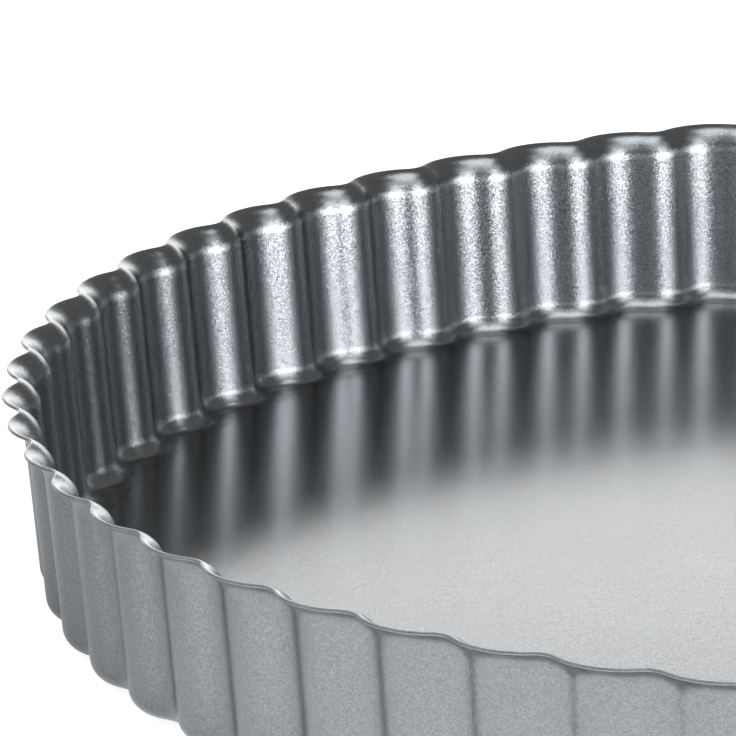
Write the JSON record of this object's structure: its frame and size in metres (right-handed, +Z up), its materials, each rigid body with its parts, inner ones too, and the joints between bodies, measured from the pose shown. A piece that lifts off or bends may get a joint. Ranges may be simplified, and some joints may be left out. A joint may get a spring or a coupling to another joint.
{
  "type": "fluted cake pan",
  "caption": "Round, shallow fluted cake and tart pan: a leaning scalloped wall with a flared lip, and a flat loose base that lifts up out of the ring to free what was baked.",
  "frame": {"origin": "on the pan's axis, at the level of the face that it stands on", "axes": "+Z up along the pan's axis, +X through one of the ridges between two flutes"},
  "size_m": [0.2796, 0.2796, 0.0287],
  "materials": {
    "ring_coating": "dark grey metallic non-stick coating, semi-gloss with fine flake",
    "base_coating": "dark grey metallic non-stick coating, semi-gloss with fine flake"
  },
  "bodies": {
    "ring": {"fluted_ring": "ring_coating"},
    "base": {"loose_base": "base_coating"}
  },
  "joints": [
    {"name": "base_lift", "type": "slide", "parent": "ring", "child": "base", "axis": [0, 0, 1], "range_m": [0, 0.06]}
  ]
}
